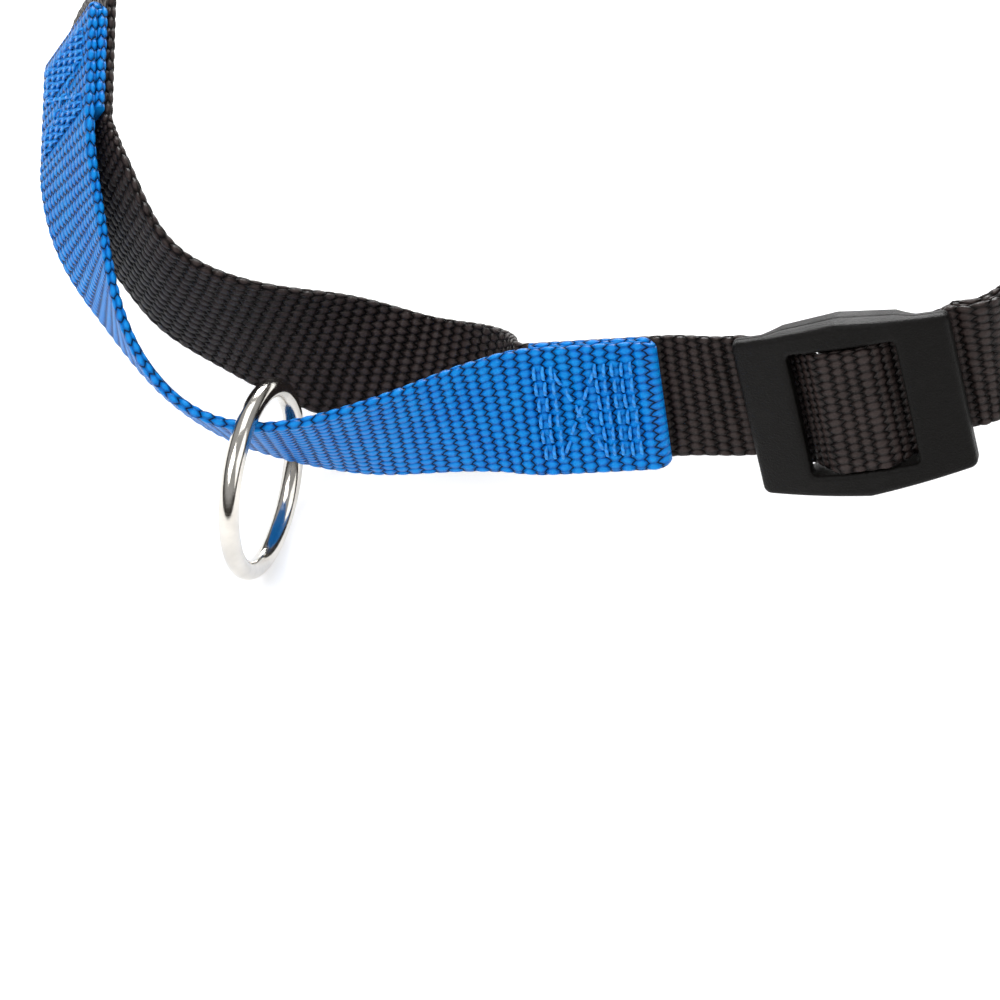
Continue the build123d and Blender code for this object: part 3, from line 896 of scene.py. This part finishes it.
# ---------------------------------------------------------------- operators
class COLLAR_OT_neck_strap(bpy.types.Operator):
    """Neck strap from the keeper loop round the left side and over the slider's bar."""

    bl_idname = "collar.neck_strap"
    bl_label = "Neck strap"

    def execute(self, context):
        settings = context.scene.collar.webbing
        half = KEEPER_SPACING / 2
        turn = half + KEEPER_OUT
        tail = [(KEEPER_STRAIGHT + TAIL_START, -LAYER), (half + TAIL_END, -LAYER)]
        tail += [(half + TAIL_START, 2 * KEEPER_OUT), (turn, 2 * KEEPER_OUT)]
        wrap = tail + [(turn, 0), (KEEPER_STRAIGHT, 0)]
        top = BAR_OUT + BAR_THICK / 2 + 2 * SEWN_GAP + WRAP_THICK + WEB_THICK / 2
        over = [(-RAMP_FOOT, 0), (-RAMP_FOOT + 0.5, 0), (-RAMP_HEAD, top)]
        over += [(RAMP_HEAD, top), (RAMP_FOOT, 0), (MEETING, 0)]
        start, end = station(KEEPER_PLACE, KEEPER_STRAIGHT), station(LEFT_PATCH, -SEWN_STRAIGHT)
        left_side = [start, *BACK_LEFT, end]
        front = [station(LEFT_PATCH, SEWN_STRAIGHT), *FRONT_LEFT, station(RIGHT_PATCH, -SEWN_STRAIGHT)]
        run = joined(
            [
                flat_run(KEEPER_PLACE, wrap, -KEEPER_OUT),
                curved_run(left_side, KEEPER_PLACE[1], LEFT_PATCH[1]),
                flat_run(LEFT_PATCH, [(-SEWN_STRAIGHT, 0), (SEWN_STRAIGHT, 0)], 1),
                curved_run(front, LEFT_PATCH[1], RIGHT_PATCH[1]),
                flat_run(RIGHT_PATCH, [(-SEWN_STRAIGHT, 0), (SEWN_STRAIGHT, 0)], 1),
                eased_run((RIGHT_PATCH, SEWN_STRAIGHT, 0), (SLIDER_STRAP, -SLIDER_EDGE, 0)),
                eased_run((SLIDER_STRAP, -SLIDER_EDGE, 0), (SLIDER_PLACE, -RAMP_FOOT, 0)),
                flat_run(SLIDER_PLACE, over, 1.6),
            ]
        )
        piece = webbing("neck_webbing", run, settings)
        finish_piece(piece, black_webbing(settings))
        start = place_point(RIGHT_PATCH, 4.0, 0) * MM
        end = start + unit((1.0, -1.0, 0.0)) * 0.0185
        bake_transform(piece)
        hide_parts("neck_strap", "strap_bight")
        return {"FINISHED"}


class COLLAR_OT_return_strap(bpy.types.Operator):
    """Doubled neck strap from the slider round the right side to the keeper loop and back to the bar."""

    bl_idname = "collar.return_strap"
    bl_label = "Return strap"

    def execute(self, context):
        settings = context.scene.collar.webbing
        half = KEEPER_SPACING / 2
        turn = half + KEEPER_OUT
        near, far = station(SLIDER_STRAP, RETURN_START), station(KEEPER_PLACE, -KEEPER_STRAIGHT)
        stations = [near, *RIGHT_SIDE, far]
        wrap = [(-KEEPER_STRAIGHT, 0), (-turn, 0), (-turn, 2 * KEEPER_OUT)]
        wrap += [(-half - TAIL_START, 2 * KEEPER_OUT), (-half - TAIL_END, -LAYER)]
        wrap += [(-KEEPER_STRAIGHT, -LAYER)]
        bar_gap = BAR_THICK / 2 + SEWN_GAP + WRAP_THICK / 2
        upper = -WEB_THICK / 2 - SEWN_GAP - WEB_THICK / 2
        lower = upper - LAYER
        sewn = [(MEETING - 1, upper), (BAR_HALF + 6.85, upper)]
        sewn += [(BAR_HALF + 0.55, BAR_OUT + bar_gap), (-BAR_HALF - 0.95, BAR_OUT + bar_gap)]
        sewn += [(-BAR_HALF - 0.95, BAR_OUT - bar_gap), (BAR_HALF + 0.4, BAR_OUT - bar_gap)]
        sewn += [(BAR_HALF + 5.4, lower), (SEWN_LEG, lower)]
        run = joined(
            [
                eased_run((SLIDER_PLACE, MEETING, 0), (SLIDER_STRAP, SLIDER_EDGE, 0)),
                flat_run(SLIDER_STRAP, [(SLIDER_EDGE, 0), (RETURN_START, 0)], 1),
                curved_run(stations, SLIDER_STRAP[1], KEEPER_PLACE[1]),
                flat_run(KEEPER_PLACE, wrap, -KEEPER_OUT),
                reversed_run(curved_run(stations, SLIDER_STRAP[1], KEEPER_PLACE[1], -LAYER)),
                flat_run(SLIDER_STRAP, [(RETURN_START, -LAYER), (SLIDER_EDGE, -LAYER)], 1),
                eased_run((SLIDER_STRAP, SLIDER_EDGE, -LAYER), (SLIDER_PLACE, MEETING - 1, upper)),
                flat_run(SLIDER_PLACE, sewn, 1.3),
            ]
        )
        piece = webbing("return_webbing", run, settings, WEB_THICK - 0.1)
        finish_piece(piece, black_webbing(settings))
        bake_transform(piece)
        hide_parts("return_strap", "sewn_end")
        return {"FINISHED"}


class COLLAR_OT_control_strap(bpy.types.Operator):
    """Control strap, both ends folded under and sewn to the neck strap."""

    bl_idname = "collar.control_strap"
    bl_label = "Control strap"

    def execute(self, context):
        settings = context.scene.collar.webbing
        fold = PATCH_REACH - WEB_THICK / 2
        under, over = LAYER, 2 * LAYER
        left = [(PATCH_REACH, under), (-fold, under), (-fold, over), (PATCH_REACH, over)]
        right = [(-along, out) for along, out in left[::-1]]
        start, end = station(LEFT_PATCH, PATCH_REACH, over), station(RIGHT_PATCH, -PATCH_REACH, over)
        run = joined(
            [
                flat_run(LEFT_PATCH, left, FOLD_BEND),
                curved_run([start, *CONTROL_SPAN, end], LEFT_PATCH[1], RIGHT_PATCH[1]),
                flat_run(RIGHT_PATCH, right, FOLD_BEND),
            ]
        )
        piece = webbing("control_webbing", run, settings, WEB_THICK, sewn_width)
        finish_piece(piece, blue_webbing(settings))
        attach(piece, "collar")
        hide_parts("control_strap")
        return {"FINISHED"}


class COLLAR_OT_stitching(bpy.types.Operator):
    """Stitched patches of the control strap, the keeper end and the end round the slider's bar."""

    bl_idname = "collar.stitching"
    bl_label = "Stitching"

    def execute(self, context):
        settings = context.scene.collar.thread
        outer, inner = 2 * LAYER + WEB_THICK / 2, -WEB_THICK / 2
        blue = shared("blue_thread", thread_material, "blue_thread", tuple(settings.blue))
        black = shared("black_thread", thread_material, "black_thread", tuple(settings.black))
        for name, place, fold in (("left", LEFT_PATCH, -1), ("right", RIGHT_PATCH, 1)):
            marks = sewn_patch(fold, settings)
            piece = stitches(f"control_stitches_{name}", place, [(outer, 1), (inner, -1)], marks, settings)
            finish_piece(piece, blue)
            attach(piece, "collar")
            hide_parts(f"control_thread_{name}")
        marks = stitch_rows([KEEPER_SPACING / 2 + 11 + 2.1 * i for i in range(4)], 20.5, settings)
        layers = [(WEB_THICK / 2, 1), (-LAYER - WEB_THICK / 2, -1)]
        piece = stitches("keeper_stitches", KEEPER_PLACE, layers, marks, settings)
        finish_piece(piece, black)
        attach(piece, "collar")
        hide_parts("keeper_thread")
        marks = stitch_rows([SEWN_LEG - 1.8 - 2.2 * i for i in range(2)], 20.5, settings)
        lowest = -WEB_THICK / 2 - SEWN_GAP - WEB_THICK / 2 - LAYER - WRAP_THICK / 2
        piece = stitches("bar_stitches", SLIDER_PLACE, [(lowest, -1)], marks, settings)
        finish_piece(piece, black)
        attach(piece, "slider")
        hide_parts("sewn_end_thread")
        return {"FINISHED"}


class COLLAR_OT_pull_ring(bpy.types.Operator):
    """Round wire ring that the lead clips to."""

    bl_idname = "collar.pull_ring"
    bl_label = "Pull ring"

    def execute(self, context):
        settings = context.scene.collar.hardware
        low, high = (np.array(corner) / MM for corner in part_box("pull_ring"))
        centre = (low + high) / 2
        swing = JOINTS["ring_swing"]
        up = unit(np.array(swing["pos_m"]) / MM - centre)
        chord = unit(swing["axis"])
        axis = np.cross(up, chord)
        wire = settings.ring_wire / MM / 2
        radius = RING_INSIDE / 2 + wire
        centres, sides = [], []
        for angle in np.linspace(0, math.tau, 192, endpoint=False):
            spoke = up * math.cos(angle) + chord * math.sin(angle)
            centres.append(centre + spoke * radius)
            sides.append((spoke, axis))
        piece = wire_loop("pull_ring_wire", centres, sides, wire, 32)
        finish_piece(piece, shared("nickel", nickel_material, settings))
        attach(piece, "pull_ring")
        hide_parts("pull_ring")
        return {"FINISHED"}


class COLLAR_OT_keeper_loop(bpy.types.Operator):
    """Bent wire loop that joins the two ends of the neck strap at the back."""

    bl_idname = "collar.keeper_loop"
    bl_label = "Keeper loop"

    def execute(self, context):
        settings = context.scene.collar.hardware
        tangent, width, outward = strap_axes(KEEPER_PLACE[1], KEEPER_PLACE[2])
        half, tall = KEEPER_SPACING / 2, KEEPER_HEIGHT / 2
        corners = [(half, 0), (half, tall), (-half, tall), (-half, -tall), (half, -tall), (half, 0)]
        line = rounded_line(corners, 3.0)[:-1]
        centres, sides = [], []
        ahead = np.roll(line, -1, axis=0) - np.roll(line, 1, axis=0)
        for (along, across), (step_along, step_across) in zip(line, ahead):
            centres.append(place_point(KEEPER_PLACE, along, KEEPER_OUT) + width * across)
            sides.append((unit(tangent * step_across - width * step_along), outward))
        piece = wire_loop("keeper_wire", centres, sides, KEEPER_WIRE / 2)
        finish_piece(piece, shared("nickel", nickel_material, settings))
        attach(piece, "collar")
        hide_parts("keeper_loop")
        return {"FINISHED"}


class COLLAR_OT_slider(bpy.types.Operator):
    """Moulded slider with its bar."""

    bl_idname = "collar.slider"
    bl_label = "Slider"

    def execute(self, context):
        settings = context.scene.collar.hardware
        for name, parts in (
            ("slider_frame", slider_frame(SLIDER_PLACE, settings)),
            ("slider_bar", slider_bar(SLIDER_PLACE, settings.window_height / MM / 2 + 1)),
        ):
            piece = build_mesh(name, *parts)
            finish_piece(piece, shared("plastic", plastic_material, settings))
            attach(piece, "slider")
            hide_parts("slider")
        return {"FINISHED"}


class COLLAR_OT_stage(bpy.types.Operator):
    """Pale floor, soft lamps and the camera."""

    bl_idname = "collar.stage"
    bl_label = "Stage"

    def execute(self, context):
        settings = context.scene.collar.stage
        scene = context.scene
        low, high = cad_box
        ground = low[2] - 0.0005
        corners = [(-6, -6, ground), (6, -6, ground), (6, 6, ground), (-6, 6, ground)]
        floor = build_mesh("floor", corners, [(0, 1, 2, 3)])
        floor.data.materials.append(floor_material(settings))
        aim = Vector((-0.020, -0.090, -0.014))
        self.lamp(context, "key_lamp", (-0.55, -0.55, 0.95), aim, 0.7, settings.lamp_power)
        self.lamp(context, "fill_lamp", (0.9, -0.5, 0.7), aim, 0.9, settings.lamp_power * 0.45)
        self.lamp(context, "top_lamp", (0.0, 0.5, 1.1), aim, 0.9, settings.lamp_power * 0.55)
        self.lamp(context, "rim_lamp", (0.1, 1.0, 0.3), aim, 0.5, settings.lamp_power * 1.7)
        world = bpy.data.worlds.new("studio")
        scene.world = world
        world.use_nodes = True
        self.surround(world.node_tree)
        camera_data = bpy.data.cameras.new("camera")
        camera_data.sensor_width = 36.0
        camera_data.lens = 168.5
        camera_data.clip_start = 0.01
        camera = bpy.data.objects.new("camera", camera_data)
        scene.collection.objects.link(camera)
        camera.location = (-0.020, -0.6922, 0.6548)
        camera.rotation_euler = (aim - camera.location).to_track_quat("-Z", "Y").to_euler()
        scene.camera = camera
        scene.view_settings.view_transform = "Standard"
        return {"FINISHED"}

    def surround(self, tree):
        """A studio that is bright overhead and dark round the sides, so that metal has edges to mirror."""
        background = tree.nodes["Background"]
        background.inputs["Strength"].default_value = 0.42
        parts = tree.nodes.new("ShaderNodeSeparateXYZ")
        feed(tree, parts.inputs[0], tree.nodes.new("ShaderNodeTexCoord").outputs["Generated"])
        rise = remapped(tree, parts.outputs["Z"], 0.1, 0.45, 0.0, 1.0)
        shade = mixed(tree, rise, opaque((0.10, 0.09, 0.08)), opaque((1.0, 1.0, 1.0)))
        feed(tree, background.inputs["Color"], shade)

    def lamp(self, context, name, place, aim, size, power):
        """A square soft lamp turned towards the collar."""
        data = bpy.data.lights.new(name, "AREA")
        data.size = size
        data.energy = power
        lamp = bpy.data.objects.new(name, data)
        context.scene.collection.objects.link(lamp)
        lamp.location = place
        lamp.rotation_euler = (aim - lamp.location).to_track_quat("-Z", "Y").to_euler()


class COLLAR_PT_panel(bpy.types.Panel):
    """Buttons for every piece."""

    bl_idname = "COLLAR_PT_panel"
    bl_label = "Martingale collar"
    bl_space_type = "VIEW_3D"
    bl_region_type = "UI"
    bl_category = "Collar"

    def draw(self, context):
        column = self.layout.column(align=True)
        for operator in OPERATORS:
            column.operator(operator.bl_idname)
        for group in ("webbing", "thread", "hardware", "stage"):
            settings = getattr(context.scene.collar, group)
            for name in settings.__annotations__:
                column.prop(settings, name)


SETTINGS = (WebbingSettings, ThreadSettings, HardwareSettings, StageSettings, CollarSettings)
OPERATORS = (
    COLLAR_OT_neck_strap,
    COLLAR_OT_return_strap,
    COLLAR_OT_control_strap,
    COLLAR_OT_stitching,
    COLLAR_OT_pull_ring,
    COLLAR_OT_keeper_loop,
    COLLAR_OT_slider,
    COLLAR_OT_stage,
)


def register():
    """Registers the settings, operators and panel."""
    for item in (*SETTINGS, *OPERATORS, COLLAR_PT_panel):
        bpy.utils.register_class(item)
    bpy.types.Scene.collar = PointerProperty(type=CollarSettings)


def unregister():
    """Takes the settings, operators and panel away again."""
    del bpy.types.Scene.collar
    for item in reversed((*SETTINGS, *OPERATORS, COLLAR_PT_panel)):
        bpy.utils.unregister_class(item)


def main():
    """Builds every piece in order."""
    register()
    bpy.ops.collar.neck_strap()
    bpy.ops.collar.return_strap()
    bpy.ops.collar.control_strap()
    bpy.ops.collar.stitching()
    bpy.ops.collar.pull_ring()
    bpy.ops.collar.keeper_loop()
    bpy.ops.collar.slider()
    bpy.ops.collar.stage()


if __name__ == "__main__":
    main()
